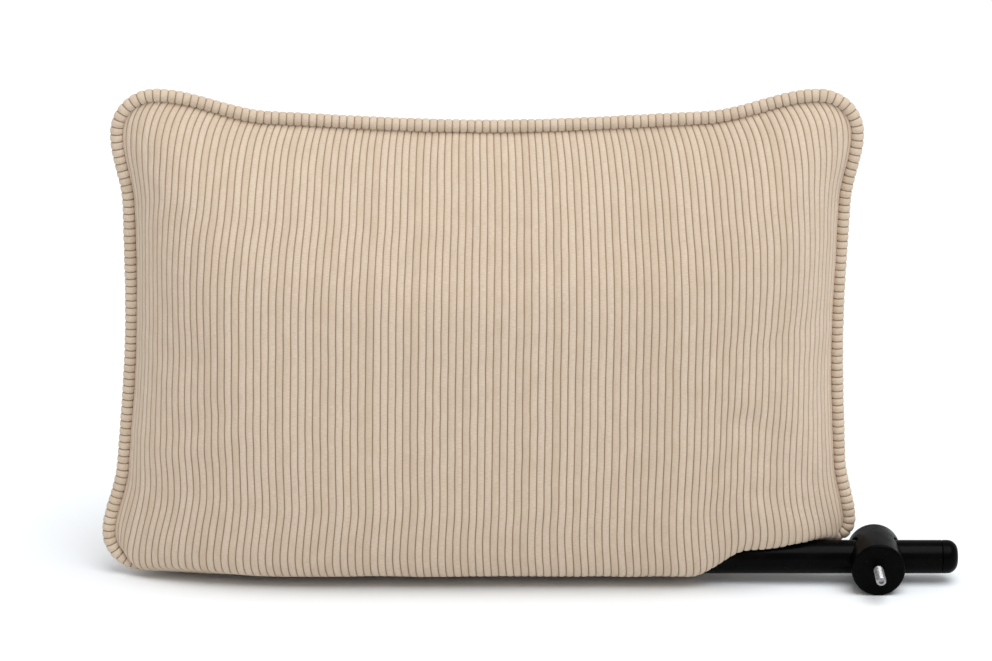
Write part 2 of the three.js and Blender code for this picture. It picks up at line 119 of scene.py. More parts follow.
CORNER_ROOT = 0.5  # added to the root at the left bottom corner, where the covers are flatter
SAG = 18.0  # how far the filling sinks below the bottom seam
SAG_FADE = (20, 110)
FLOOR_CLEAR = 0.25
BAR_CLEAR = 1.4  # between the bar and the covers that lie over it
BAR_DRAPE = 29.0  # how low the covers hang over the bar
BAR_STEP = 25.0  # how much higher the bottom seam lies over the bar
# How fast the front cover rises from the floor as it comes forward: at the left corner, and along the rest.
CORNER_SLOPE = 0.62
FRONT_SLOPE = 0.27
SLOPE_FADE = (-290, -170)  # x between which the one runs into the other
SINK_IN = 12.0  # thickness at which the filling sinks fully
LANDING = 2.0  # roundness of the turn where the cloth lands
SEAM_GAP = 0.6  # from the seam's plane to each cover
UNDERSIDE = 15.0  # how far from the seam the covers lie before they turn up


def smooth(low, high, value):
    t = np.clip((value - low) / (high - low), 0.0, 1.0)
    return t * t * (3.0 - 2.0 * t)


def corner_arc(corner, inset, steps=60):
    x, z, radius, first = corner
    angles = np.radians(first + np.linspace(0.0, 90.0, steps))
    return np.stack([x + (radius - inset) * np.cos(angles), z + (radius - inset) * np.sin(angles)], 1)


def side_line(index, start, end, steps=240):
    """The points between two corners: pulled in, or climbing over the bar along the bottom."""
    t = np.linspace(0.0, 1.0, steps + 2)[1:-1]
    x = start[0] + (end[0] - start[0]) * t
    z = start[1] + (end[1] - start[1]) * t
    near = np.minimum(t, 1.0 - t)
    horn = HORN_PART * smooth(0, HORN_REACH, near)
    pull = PULLS[index] * (horn + (1 - HORN_PART) * smooth(0, 0.5, near))
    if index == 0:
        z = z - pull
    if index == 1:
        x = x + pull
    if index == 2:
        z = start[1] + (end[1] - start[1]) * smooth(*RISER, x)
    if index == 3:
        x = x - pull
    return np.stack([x, z], 1)


def outline(inset):
    """The closed outline, anticlockwise seen from the front, evenly spaced, from the top right corner's
    middle. Also returns the places along it of the four corners' middles."""
    arcs = [corner_arc(corner, inset) for corner in CORNERS]
    half = len(arcs[0]) // 2
    pieces = [arcs[0][half:]]
    marks = [0]
    for index in range(4):
        after = arcs[(index + 1) % 4]
        pieces.append(side_line(index, arcs[index][-1], after[0]))
        if index < 3:
            marks.append(sum(len(p) for p in pieces) + half)
            pieces.append(after)
        else:
            pieces.append(after[:half])
    points = np.concatenate(pieces)
    closed = np.concatenate([points, points[:1]])
    lengths = np.concatenate([[0.0], np.cumsum(np.hypot(*np.diff(closed, axis=0).T))])
    even = np.linspace(0.0, lengths[-1], OUTLINE_POINTS, endpoint=False)
    spaced = np.stack([np.interp(even, lengths, closed[:, axis]) for axis in (0, 1)], 1)
    return soften(spaced), [lengths[m] / lengths[-1] for m in marks]


def soften(points, rounds=24):
    """Smooths a closed line, so that corners run into sides without a kink."""
    for _ in range(rounds):
        points = 0.5 * points + 0.25 * (np.roll(points, 1, 0) + np.roll(points, -1, 0))
    return points


def along(points, marks, first, last, count):
    """Evenly spaced points of the outline between two corners, by their numbers."""
    start, end = marks[first], marks[last] if last else 1.0
    places = np.linspace(start, end, count) * OUTLINE_POINTS
    closed = np.concatenate([points, points[:1]])
    return np.stack([np.interp(places, np.arange(OUTLINE_POINTS + 1), closed[:, axis]) for axis in (0, 1)], 1)


def flat_cover(columns, rows):
    """A grid of (x, z) over the outline, from the bottom row up, with every edge on the outline."""
    points, marks = outline(SEAM_INSET)
    top = along(points, marks, 0, 1, columns)[::-1]
    left = along(points, marks, 1, 2, rows)[::-1]
    bottom = along(points, marks, 2, 3, columns)
    right = along(points, marks, 3, 0, rows)
    s = np.linspace(0.0, 1.0, columns)[None, :, None]
    t = np.linspace(0.0, 1.0, rows)[:, None, None]
    ruled = (1 - t) * bottom[None] + t * top[None] + (1 - s) * left[:, None] + s * right[:, None]
    corners = (
        (1 - s) * (1 - t) * bottom[0] + s * (1 - t) * bottom[-1] + (1 - s) * t * top[0] + s * t * top[-1]
    )
    return ruled - corners


def profile(position, power, root):
    return (1.0 - np.abs(position) ** power).clip(0.0) ** root


def crowned_cover(side, depth, columns=161, rows=111):
    """One cover before its cloth is relaxed: a grid of (x, y, z). side is -1 in front and 1 at the back."""
    grid = flat_cover(columns, rows)
    s = np.linspace(-1.0, 1.0, columns)[None, :]
    t = np.linspace(-1.0, 1.0, rows)[:, None]
    power, low_root, high_root = UPRIGHT
    upwards = smooth(-1.0, 1.0, t)
    left_corner = np.maximum(-s, 0.0) ** 4 * (1.0 - upwards)
    root = low_root + (high_root - low_root) * upwards + CORNER_ROOT * left_corner
    thick = depth * profile(s, *ACROSS) * profile(t, power, root)
    x, z = grid[..., 0], grid[..., 1]
    y = SEAM_Y + side * (SEAM_GAP + thick)
    above_seam = z - BAR_STEP * smooth(*RISER, x)
    sink = SAG * smooth(0, SINK_IN, thick) * (1.0 - smooth(*SAG_FADE, above_seam))
    return np.stack([x, y, lifted(x, y, z - sink)], 2)


def lifted(x, y, z, softness=LANDING):
    """Keeps z above the floor, and above the bar where it comes out, with a rounded turn where the cloth
    lands. Over the floor the front cover rises as it comes forward."""
    slope = FRONT_SLOPE + (CORNER_SLOPE - FRONT_SLOPE) * (1.0 - smooth(*SLOPE_FADE, x))
    floor = FLOOR_CLEAR + slope * np.maximum(SEAM_Y - y, 0.0)
    reach = radius_of("mounting_bar") + BAR_CLEAR
    arch = np.sqrt(np.maximum(reach**2 - y**2, 0.0))
    bar = np.maximum(BAR_HEIGHT + arch, BAR_DRAPE)
    low = floor + (bar - floor) * smooth(*RISER, x)
    landed = low + softness * np.exp(np.minimum(z - low - softness, 0.0) / softness)
    return np.where(z < low + softness, landed, z)


def resample_rows(grid, places):
    """Resamples each row of a grid at the same shares of that row's own length."""
    steps = np.linalg.norm(np.diff(grid, axis=1), axis=2)
    lengths = np.concatenate([np.zeros((len(grid), 1)), np.cumsum(steps, axis=1)], 1)
    out = np.zeros((len(grid), len(places), 3))
    for row, (points, length) in enumerate(zip(grid, lengths)):
        out[row] = spline(length / length[-1], points, places)
    return out


def spline(at, points, wanted):
    """Cubic Hermite interpolation of points given at rising places."""
    slope = np.gradient(points, at, axis=0)
    index = np.clip(np.searchsorted(at, wanted, side="right") - 1, 0, len(at) - 2)
    width = (at[index + 1] - at[index])[:, None]
    t = ((wanted - at[index])[:, None] / width).clip(0.0, 1.0)
    a, b = points[index], points[index + 1]
    da, db = slope[index] * width, slope[index + 1] * width
    from_ends = (2 * t**3 - 3 * t**2 + 1) * a + (3 * t**2 - 2 * t**3) * b
    from_slopes = (t**3 - 2 * t**2 + t) * da + (t**3 - t**2) * db
    return from_ends + from_slopes


def normals_of(grid, side):
    across = np.gradient(grid, axis=1)
    up = np.gradient(grid, axis=0)
    normal = np.cross(across, up)
    normal /= np.linalg.norm(normal, axis=2, keepdims=True) + 1e-9
    return normal * (1.0 if side < 0 else -1.0)


def rough(x, z, seed, size):
    """Smooth noise over a grid of millimetre coordinates."""
    places = zip(x.ravel(), z.ravel())
    flat = [noise.noise(Vector((a / size + seed, b / size, seed * 1.7))) for a, b in places]
    return np.array(flat).reshape(x.shape)


def zip_height(x, y, z):
    """How far up the zip's plane a point lies from the middle of the zip."""
    return (z - ZIP_MIDDLE[1]) * np.cos(ZIP_LEAN) + (y - ZIP_MIDDLE[0]) * np.sin(ZIP_LEAN)


def laid_on_zip(grid):
    """Lays the back cover on the plane of the zip along its length."""
    x, y, z = grid[..., 0], grid[..., 1], grid[..., 2]
    plane = ZIP_MIDDLE[0] + np.tan(ZIP_LEAN) * (z - ZIP_MIDDLE[1])
    beyond = np.maximum(ZIP_LEFT - x, x - ZIP_RIGHT)
    near = 1.0 - smooth(*ZIP_FLAT, np.abs(z - ZIP_MIDDLE[1]))
    near = near * (1.0 - smooth(*ZIP_FLAT_ENDS, beyond)) * (y > SEAM_Y + UNDERSIDE)
    grid = grid.copy()
    grid[..., 1] = y + (plane - y) * near
    return grid


def zip_rows(grid):
    """Rows for the two lips of the zip's opening and their turned edges, as shares of the cover's height."""
    column = np.argmin(np.abs(grid[len(grid) // 2, :, 0]))
    line = grid[:, column]
    lengths = np.concatenate([[0.0], np.cumsum(np.linalg.norm(np.diff(line, axis=0), axis=1))])
    height = zip_height(*line.T)
    lower = slice(np.argmax(line[:, 1] > SEAM_Y + UNDERSIDE + 10), len(line) // 2)
    upper_lip = np.array([ZIP_LIP + beyond for beyond, _ in ZIP_TURNS])
    places = np.concatenate([-upper_lip[::-1], upper_lip])
    return np.interp(places, height[lower], lengths[lower] / lengths[-1])


def waled_cover(name, side, depth):
    """A corduroy cover as a mesh: one rounded rib per wale, over the relaxed cloth."""
    base = relaxed(crowned_cover(side, depth), side)
    heights = np.linspace(0.0, 1.0, COVER_ROWS)
    lips = []
    if side > 0:
        base = laid_on_zip(base)
        lips = zip_rows(base)
        heights = heights[(heights < lips[0] - 0.002) | (heights > lips[-1] + 0.002)]
        heights = np.sort(np.concatenate([heights, lips]))
    rows = len(heights)
    places = np.concatenate([(np.arange(WALES)[:, None] + WALE_STEPS).ravel(), [WALES]]) / WALES
    rise = np.concatenate([np.tile(WALE_RISE, WALES), [0.0]])
    grid = resample_rows(base, places)
    grid = resample_rows(grid.transpose(1, 0, 2), heights).transpose(1, 0, 2)
    normal = normals_of(grid, side)
    x, z = grid[..., 0], grid[..., 2]
    lumps = sum(height * rough(x, z, seed + side, size) for height, size, seed in LUMPS)
    wale_of = np.minimum(np.floor(places * WALES), WALES - 1)
    along_wale = rough(np.tile(wale_of * 9.7, (rows, 1)), z, 8.0, WALE_UNEVEN_SIZE)
    # The ribs sink into the seam all round.
    s = np.abs(2 * places - 1)[None, :]
    t = np.abs(2 * heights - 1)[:, None]
    at_seam = (1.0 - smooth(0.992, 1.0, t)) * (1.0 - smooth(0.996, 1.0, s))
    lift = (WALE_HEIGHT * (rise - 0.5)[None, :] * (1.0 + WALE_UNEVEN * along_wale) + lumps) * at_seam
    shaped = grid + normal * lift[..., None]
    # Each groove wanders a little between its two wales.
    groove_of = np.round(places * WALES)
    wander = rough(np.tile(groove_of * 7.3, (rows, 1)), z, 2.0, WANDER_SIZE)
    shaped[..., 0] += WANDER * wander * (1.0 - smooth(0.985, 1.0, s)) * at_seam
    gap = None
    if side > 0:
        gap = zip_gap(shaped, normal, heights, lips, places)
    shaped[..., 2] = np.maximum(shaped[..., 2], MESH_CLEAR)
    steps = np.linalg.norm(np.diff(grid, axis=0), axis=2)
    along_cloth = np.concatenate([np.zeros((1, len(places))), np.cumsum(steps, axis=0)])
    across = np.tile(places * WALES, (rows, 1))
    uv = np.stack([across, along_cloth / 10.0], 2)
    return grid_object(name, shaped, uv, flip=side > 0, gap=gap)


def zip_gap(shaped, normal, heights, lips, places):
    """Turns the cover's lips in beside the zip, and says which of the grid's cells are left open."""
    first, last = np.searchsorted(heights, lips[2]), np.searchsorted(heights, lips[3])
    middle = shaped[first, :, 0]
    inside = (middle > ZIP_LEFT + ZIP_END_CLOTH) & (middle < ZIP_RIGHT - ZIP_END_CLOTH)
    for number, (_, depth) in enumerate(ZIP_TURNS):
        for row in (first - number, last + number):
            shaped[row, inside] -= normal[row, inside] * depth
    gap = np.zeros((len(heights) - 1, len(places) - 1), dtype=bool)
    gap[first:last] = (inside[:-1] & inside[1:])[None, :]
    return gap


CLOTH_FRAMES = 20
CLOTH_PRESSURE = 4.0
CLOTH_EXCESS = 0.006  # how much larger the cloth is cut than the shape it covers
CLOTH_CAP = 6.0  # the most that a point may move
CLOTH_SMOOTHING = 12  # rounds of averaging between neighbouring points
CLOTH_STIFFNESS = 15.0
CLOTH_SHEAR = 5.0
CLOTH_BENDING = 0.5
CLOTH_MASS = 0.3
CLOTH_HELD = 0.15  # share of its move that the cloth keeps along the bottom
SETTLED = (5, 75)  # the heights between which the filling's weight lets go of the cloth


def relaxed(grid, side):
    """The cover after a cloth simulation: it swells against its seam and its spare cloth goes into soft folds."""
    made = grid_object("relaxing", grid, np.zeros(grid.shape[:2] + (2,)), flip=side > 0)
    rows, columns = grid.shape[:2]
    numbers = np.arange(rows * columns).reshape(rows, columns)
    rim = np.concatenate([numbers[0], numbers[-1], numbers[1:-1, 0], numbers[1:-1, -1]])
    group = made.vertex_groups.new(name="seam")
    group.add(rim.tolist(), 1.0, "REPLACE")
    modifier = made.modifiers.new("cloth", "CLOTH")
    settings = modifier.settings
    settings.quality = 6
    settings.mass = CLOTH_MASS
    settings.tension_stiffness = CLOTH_STIFFNESS
    settings.compression_stiffness = CLOTH_STIFFNESS
    settings.shear_stiffness = CLOTH_SHEAR
    settings.bending_stiffness = CLOTH_BENDING
    settings.shrink_min = -CLOTH_EXCESS
    settings.vertex_group_mass = "seam"
    settings.use_pressure = True
    settings.uniform_pressure_force = CLOTH_PRESSURE
    settings.effector_weights.gravity = 0.0
    modifier.collision_settings.use_collision = False
    modifier.point_cache.frame_start = 1
    modifier.point_cache.frame_end = CLOTH_FRAMES
    scene = bpy.context.scene
    for number in range(1, CLOTH_FRAMES + 1):
        scene.frame_set(number)
    evaluated = made.evaluated_get(bpy.context.evaluated_depsgraph_get())
    points = np.empty(len(evaluated.data.vertices) * 3)
    evaluated.data.vertices.foreach_get("co", points)
    moved = (points.reshape(grid.shape) - np.array(ORIGIN)) / MM - grid
    bpy.data.meshes.remove(made.data)
    scene.frame_set(1)
    length = np.linalg.norm(moved, axis=2, keepdims=True)
    moved = evened(moved / np.sqrt(1.0 + (length / CLOTH_CAP) ** 2))
    # The filling's weight keeps the cloth where it lies along the bottom.
    held = CLOTH_HELD + (1.0 - CLOTH_HELD) * smooth(*SETTLED, grid[..., 2:])
    return grid + moved * held


def evened(moved, rounds=CLOTH_SMOOTHING):
    """Averages a grid of moves between neighbours and leaves the rim still."""
    for _ in range(rounds):
        inner = moved[:-2, 1:-1] + moved[2:, 1:-1] + moved[1:-1, :-2] + moved[1:-1, 2:]
        moved[1:-1, 1:-1] = 0.5 * moved[1:-1, 1:-1] + 0.125 * inner
    return moved


def grid_object(name, grid, uv, flip=False, gap=None):
    """A mesh object from a grid of millimetre points with a UV map. gap marks the cells that stay open."""
    rows, columns = grid.shape[:2]
    mesh = bpy.data.meshes.new(name)
    points = grid.reshape(-1, 3) * MM + np.array(ORIGIN)
    r, c = np.meshgrid(np.arange(rows - 1), np.arange(columns - 1), indexing="ij")
    corner = (r * columns + c).ravel()
    if gap is not None:
        corner = corner[~gap.ravel()]
    faces = np.stack([corner, corner + 1, corner + columns + 1, corner + columns], 1)
    if flip:
        faces = faces[:, ::-1]
    mesh.from_pydata(points, [], faces.tolist())
    mesh.update()
    layer = mesh.uv_layers.new(name="cloth")
    loops = np.empty(len(mesh.loops), dtype=np.int64)
    mesh.loops.foreach_get("vertex_index", loops)
    layer.data.foreach_set("uv", uv.reshape(-1, 2)[loops].astype(np.float32).ravel())
    mesh.polygons.foreach_set("use_smooth", np.ones(len(mesh.polygons), dtype=bool))
    made = bpy.data.objects.new(name, mesh)
    bpy.context.scene.collection.objects.link(made)
    return made


# ---- Piping -------------------------------------------------------------------------------------------

PIPING_PITCH = 5.9  # from one wale to the next along the cord
PIPING_SIDES = 20
PIPING_GROOVE = 1.2  # depth of its grooves
PIPING_SWELL = 0.25  # how far its wales stand out, and how much that varies


def piping_object():
    """The cord round the edge, wrapped in the same corduroy with its wales across the cord."""
    points, _ = outline(PIPING_RADIUS)
    steps = np.linalg.norm(np.roll(points, -1, 0) - points, axis=1)
    length = steps.sum()
    wales = int(round(length / PIPING_PITCH))
    places = np.concatenate([(np.arange(wales)[:, None] + WALE_STEPS).ravel(), [wales]]) / wales
    rise = np.concatenate([np.tile(WALE_RISE, wales), [0.0]])
    closed = np.concatenate([points, points[:1]])
    at = np.concatenate([[0.0], np.cumsum(steps)]) / length
    centre = np.stack([np.interp(places, at, closed[:, axis]) for axis in (0, 1)], 1)
    tangent = np.gradient(centre, axis=0)
    tangent[0] = tangent[-1] = centre[1] - centre[-2]
    tangent /= np.linalg.norm(tangent, axis=1, keepdims=True)
    outward = np.stack([tangent[:, 1], -tangent[:, 0]], 1)
    angles = np.linspace(0.0, 2 * np.pi, PIPING_SIDES + 1)
    seeded = np.array([noise.noise(Vector((w * 0.73, 4.2, 0.0))) for w in range(wales)])
    bump = np.concatenate([np.repeat(seeded, len(WALE_STEPS)), [seeded[0]]])
    radius = PIPING_RADIUS + PIPING_SWELL + PIPING_SWELL * bump + PIPING_GROOVE * (rise - 1.0)
    out = outward[None] * (radius[None, :] * np.cos(angles)[:, None])[..., None]
    y = SEAM_Y + radius[None, :] * np.sin(angles)[:, None]
    x = centre[None, :, 0] + out[..., 0]
    z = np.maximum(centre[None, :, 1] + out[..., 1], MESH_CLEAR)
    grid = np.stack([x, y, z], 2)
    uv = np.stack(np.broadcast_arrays(places[None, :] * wales, (angles * PIPING_RADIUS / 10.0)[:, None]), 2)
    made = grid_object("piping", grid, uv)
    weld(made, 0.01 * MM)
    return made


def weld(made, distance):
    mesh = bmesh.new()
    mesh.from_mesh(made.data)
    bmesh.ops.remove_doubles(mesh, verts=mesh.verts, dist=distance)
    mesh.to_mesh(made.data)
    mesh.free()


# ---- Bar, clamp block and stud ------------------------------------------------------------------------

ROUND_SIDES = 96
WELD = 0.002  # points nearer than this become one
BAR_WALL = 1.5
BAR_EDGE = 0.35  # chamfer at the joint between the tube and its cap
CAP_STEM = 20.0
CAP_ROUND = 8.5
BLOCK_EDGE = 2.2
STUD_HOLE = 4.35  # radius
STUD_HOLE_CHAMFER = 0.7


def lathe(name, profile, axis, centre):
    """A closed body of revolution. profile lists (radius, place along the axis), from the axis back to the
    axis or round a ring. axis is 0 for x or 1 for y, and centre gives the other two coordinates."""
    angles = np.linspace(0.0, 2 * np.pi, ROUND_SIDES + 1)
    radius, place = np.array(profile, dtype=float).T
    first = centre[0] + radius[:, None] * np.cos(angles)[None, :]
    second = centre[1] + radius[:, None] * np.sin(angles)[None, :]
    along_axis = np.tile(place[:, None], (1, ROUND_SIDES + 1))
    if axis == 0:
        grid = np.stack([along_axis, first, second], 2)
    else:
        grid = np.stack([first, along_axis, second], 2)
    uv = np.stack(np.broadcast_arrays(angles[None, :], place[:, None] / 10.0), 2)
    made = grid_object(name, grid, uv)
    weld(made, WELD * MM)
    recalculate(made)
    return made


def recalculate(made, sharp=35.0):
    """Turns the faces outwards, and keeps edges sharper than an angle in degrees crisp."""
    mesh = bmesh.new()
    mesh.from_mesh(made.data)
    bmesh.ops.recalc_face_normals(mesh, faces=mesh.faces)
    for edge in mesh.edges:
        edge.smooth = len(edge.link_faces) != 2 or edge.calc_face_angle(0.0) < np.radians(sharp)
    mesh.to_mesh(made.data)
    mesh.free()


def quarter(radius, centre_radius, centre_place, start, steps=8):
    """A quarter circle of a lathe profile from an angle in degrees: 0 points outwards and 90 onwards."""
    angles = np.radians(start + np.linspace(0.0, 90.0, steps + 1))
    return [(centre_radius + radius * np.cos(a), centre_place + radius * np.sin(a)) for a in angles]


def bar_objects():
    """The tube and its right end cap, with a fine joint between them."""
    left, right = span("mounting_bar", 0)
    radius = radius_of("mounting_bar")
    bore = radius - BAR_WALL
    rim = radius - BAR_EDGE
    centre = (0.0, BAR_HEIGHT)
    tube = [(bore, left), (rim, left), (radius, left + BAR_EDGE)]
    tube += [(radius, right - BAR_EDGE), (rim, right), (bore, right), (bore, left)]
    bar = lathe("bar_tube", tube, 0, centre)
    cap_end = span("bar_end_cap_right", 0)[1]
    cap = [(0.0, right - CAP_STEM), (bore - GAP, right - CAP_STEM), (bore - GAP, right + GAP)]
    cap += [(rim, right + GAP), (radius, right + GAP + BAR_EDGE)]
    cap += quarter(CAP_ROUND, radius - CAP_ROUND, cap_end - CAP_ROUND, 0.0, 14)
    cap += [(0.0, cap_end)]
    return bar, lathe("bar_cap", cap, 0, centre)


def block_object():
    """The clamp block: a round body across the bar, bored for the bar and for the stud."""
    front, back = span("clamp_block", 1)
    radius = radius_of("clamp_block")
    bore_radius = radius_of("bore_bush") + GAP
    hole_end = 3.0 - bore_radius  # just inside the bore
    profile = [(0.0, hole_end), (STUD_HOLE, hole_end), (STUD_HOLE, front + STUD_HOLE_CHAMFER)]
    profile += [(STUD_HOLE + STUD_HOLE_CHAMFER, front)]
    profile += quarter(BLOCK_EDGE, radius - BLOCK_EDGE, front + BLOCK_EDGE, -90.0)
    profile += quarter(BLOCK_EDGE, radius - BLOCK_EDGE, back - BLOCK_EDGE, 0.0)
    profile += [(0.0, back)]
    block = lathe("clamp_body", profile, 1, (BLOCK_X, BAR_HEIGHT))
    left, right = BLOCK_X - 35.0, BLOCK_X + 35.0  # past both sides of the block
    cutter = [(0.0, left), (bore_radius, left), (bore_radius, right), (0.0, right)]
    bore = lathe("bore", cutter, 0, (0.0, BAR_HEIGHT))
    modifier = block.modifiers.new("bore", "BOOLEAN")
    modifier.operation = "DIFFERENCE"
    modifier.object = bore
    modifier.solver = "EXACT"
    evaluated = block.evaluated_get(bpy.context.evaluated_depsgraph_get())
    block.data = bpy.data.meshes.new_from_object(evaluated)
    block.modifiers.clear()
    bpy.data.objects.remove(bore)
    recalculate(block)
    return block


THREAD_PITCH = 1.25
THREAD_DEPTH = 0.68
THREAD_FLANK = (0.12, 0.95)  # the flanks, as shares of the way from crest to root
STUD_CHAMFER = 1.1
STUD_SIDES = 40
STEPS_PER_PITCH = 8
SOCKET_RADIUS = 2.1
SOCKET_DEPTH = 3.0


def stud_object():
    """The M8 stud, with a real helical thread, chamfered ends and a socket in its tip."""
    front, back = span("clamp_stud", 1)
    radius = radius_of("clamp_stud")
    places = np.arange(front, back, THREAD_PITCH / STEPS_PER_PITCH)
    angles = np.linspace(0.0, 2 * np.pi, STUD_SIDES + 1)
    phase = places[:, None] / THREAD_PITCH + angles[None, :] / (2 * np.pi)
    ridge = np.abs((phase % 1.0) - 0.5) * 2.0
    thread = radius - THREAD_DEPTH * smooth(*THREAD_FLANK, ridge)
    ends = np.minimum(places - front, back - places)[:, None]
    thread = np.minimum(thread, radius - STUD_CHAMFER + ends)
    bottom = front + SOCKET_DEPTH
    socket = [(0.0, bottom + 0.4), (SOCKET_RADIUS - 0.1, bottom), (SOCKET_RADIUS, front)]
    rings = [stud_ring(np.full(STUD_SIDES + 1, ring), place, angles) for ring, place in socket]
    rings += [stud_ring(ring, place, angles) for ring, place in zip(thread, places)]
    rings += [stud_ring(np.zeros(STUD_SIDES + 1), back, angles)]
    grid = np.array(rings)
    made = grid_object("stud_thread", grid, np.zeros(grid.shape[:2] + (2,)))
    weld(made, WELD * MM)
    recalculate(made, 60.0)
    return made


def stud_ring(radius, place, angles):
    """One ring of points round the stud's axis."""
    x = BLOCK_X + radius * np.cos(angles)
    z = BAR_HEIGHT + radius * np.sin(angles)
    return np.stack([x, np.full(len(angles), place), z], 1)


# ---- Materials ----------------------------------------------------------------------------------------


class Nodes:
    """A short way to build a material's node tree."""

    def __init__(self, name):
        self.material = bpy.data.materials.new(name)
        self.material.use_nodes = True
        self.tree = self.material.node_tree
        self.shader = self.tree.nodes["Principled BSDF"]

    def add(self, kind, inputs=None, **settings):
        node = self.tree.nodes.new(kind)
        for key, value in settings.items():
            setattr(node, key, value)
        for key, value in (inputs or {}).items():
            if isinstance(value, bpy.types.NodeSocket):
                self.tree.links.new(value, node.inputs[key])
            else:
                node.inputs[key].default_value = value
        return node

    def math(self, operation, a, b=0.0, c=0.0):
        return self.add("ShaderNodeMath", {0: a, 1: b, 2: c}, operation=operation).outputs[0]

    def mix(self, factor, a, b, blend="MIX"):
        node = self.add("ShaderNodeMix", data_type="RGBA", blend_type=blend)
        for key, value in ((0, factor), (6, a), (7, b)):
            if isinstance(value, bpy.types.NodeSocket):
                self.tree.links.new(value, node.inputs[key])
            else:
                node.inputs[key].default_value = value
        return node.outputs[2]

    def ramp(self, value, low, high, to_low=0.0, to_high=1.0):
        node = self.add(
            "ShaderNodeMapRange",
            {"Value": value, "From Min": low, "From Max": high, "To Min": to_low, "To Max": to_high},
            interpolation_type="SMOOTHSTEP",
        )
        return node.outputs["Result"]

    def noise(self, vector, scale, detail=2.0, roughness=0.5):
        node = self.add(
            "ShaderNodeTexNoise", {"Vector": vector, "Scale": scale, "Detail": detail, "Roughness": roughness}
        )
        return node.outputs["Fac"]

    def bump(self, height, strength, distance, normal=None):
        node = self.add("ShaderNodeBump", {"Height": height, "Strength": strength, "Distance": distance})
        if normal is not None:
            self.tree.links.new(normal, node.inputs["Normal"])
        return node.outputs["Normal"]

    def set(self, **inputs):
        for key, value in inputs.items():
            socket = self.shader.inputs[key.replace("_", " ")]
            if isinstance(value, bpy.types.NodeSocket):
                self.tree.links.new(value, socket)
            else:
                socket.default_value = value
        return self.material


PILE_LIGHT = (0.655, 0.535, 0.420, 1)
PILE_WARM = (0.570, 0.450, 0.335, 1)
PILE_PARTED = (0.47, 0.35, 0.24, 1)
PILE_TIPS = (0.78, 0.67, 0.55, 1)
# The grooves' colour is painted shade: darker than the pile, on top of their modelled depth.
GROOVE_SHADE = (0.34, 0.240, 0.155, 1)


def corduroy():
    """Wide-wale corduroy. The UV map counts wales across and centimetres along."""
    n = Nodes("corduroy")
    uv = n.add("ShaderNodeUVMap", uv_map="cloth").outputs["UV"]
    split = n.add("ShaderNodeSeparateXYZ", {"Vector": uv})
    wale, along_cloth = split.outputs["X"], split.outputs["Y"]
    across = n.math("PINGPONG", wale, 0.5)  # 0 in a groove, 0.5 on a wale's top
    number = n.math("FLOOR", wale)
    per_wale = n.add("ShaderNodeTexWhiteNoise", {"W": number}, noise_dimensions="1D").outputs["Value"]
    # Painted shade: the grooves between the wales are darkened in colour.
    groove_shade_mask = n.ramp(across, 0.02, 0.13, 1.0, 0.0)

    place = n.add("ShaderNodeCombineXYZ", {"X": wale, "Y": along_cloth, "Z": 0.0}).outputs["Vector"]
    patches = n.noise(place, 0.55, 3.0, 0.6)
    # Lines across each wale where the pile parts, short along the wale and broken between wales.
    stretched = n.add("ShaderNodeMapping", {"Vector": place, "Scale": (1.4, 16.0, 1.0)}).outputs["Vector"]
    lines = n.noise(stretched, 1.0, 3.0, 0.65)
    fine = n.add("ShaderNodeMapping", {"Vector": place, "Scale": (9.0, 30.0, 1.0)}).outputs["Vector"]
    fibre = n.noise(fine, 1.0, 2.0)

    tone = n.math("ADD", n.math("MULTIPLY", per_wale, 0.35), n.math("MULTIPLY", patches, 0.9))
    pile = n.mix(n.ramp(tone, 0.35, 0.95), PILE_LIGHT, PILE_WARM)
    pile = n.mix(n.ramp(lines, 0.60, 0.36, 0.0, 0.50), pile, PILE_PARTED)
    pile = n.mix(n.ramp(fibre, 0.35, 0.65, 0.0, 0.30), pile, PILE_TIPS)
    colour = n.mix(groove_shade_mask, pile, GROOVE_SHADE)

    height = n.math("ADD", n.math("MULTIPLY", lines, 0.7), n.math("MULTIPLY", fibre, 0.5))
    normal = n.bump(height, 0.55, 0.0006)
    return n.set(
        Base_Color=colour,
        Roughness=n.ramp(fibre, 0.2, 0.8, 0.82, 0.96),
        Normal=normal,
        Sheen_Weight=0.25,
        Sheen_Roughness=0.45,
        Sheen_Tint=(1.0, 0.93, 0.84, 1),
        Specular_IOR_Level=0.2,
    )


def object_place(n, scale=(1.0, 1.0, 1.0)):
    coordinates = n.add("ShaderNodeTexCoord").outputs["Object"]
    return n.add("ShaderNodeMapping", {"Vector": coordinates, "Scale": scale}).outputs["Vector"]


def powder_coat():
    n = Nodes("powder_coat")
    place = object_place(n)
    peel = n.noise(place, 900.0, 2.0)
    wear = n.noise(place, 60.0, 4.0)
    return n.set(
        Base_Color=n.mix(n.ramp(wear, 0.4, 0.7), (0.0006, 0.0006, 0.0007, 1), (0.0014, 0.0014, 0.0015, 1)),
        Roughness=n.ramp(wear, 0.3, 0.7, 0.20, 0.30),
        Normal=n.bump(peel, 0.12, 0.0002),
        Specular_IOR_Level=0.04,
    )


def moulded_black():
    n = Nodes("moulded_black")
    place = object_place(n)
    grain = n.noise(place, 1800.0, 3.0)
    smudge = n.noise(place, 90.0, 3.0)
    return n.set(
        Base_Color=n.mix(n.ramp(smudge, 0.35, 0.7), (0.0006, 0.0006, 0.0007, 1), (0.0012, 0.0012, 0.0013, 1)),
        Roughness=n.ramp(smudge, 0.3, 0.7, 0.26, 0.38),
        Normal=n.bump(grain, 0.25, 0.0001),
        Specular_IOR_Level=0.035,
    )


def zinc_plate():
    n = Nodes("zinc_plate")
    place = object_place(n)
    spots = n.noise(place, 500.0, 4.0)
    return n.set(
        Base_Color=n.mix(n.ramp(spots, 0.3, 0.7), (0.26, 0.26, 0.27, 1), (0.42, 0.42, 0.43, 1)),
        Metallic=1.0,
        Roughness=n.ramp(spots, 0.3, 0.7, 0.24, 0.42),
        Normal=n.bump(spots, 0.1, 0.0001),
    )


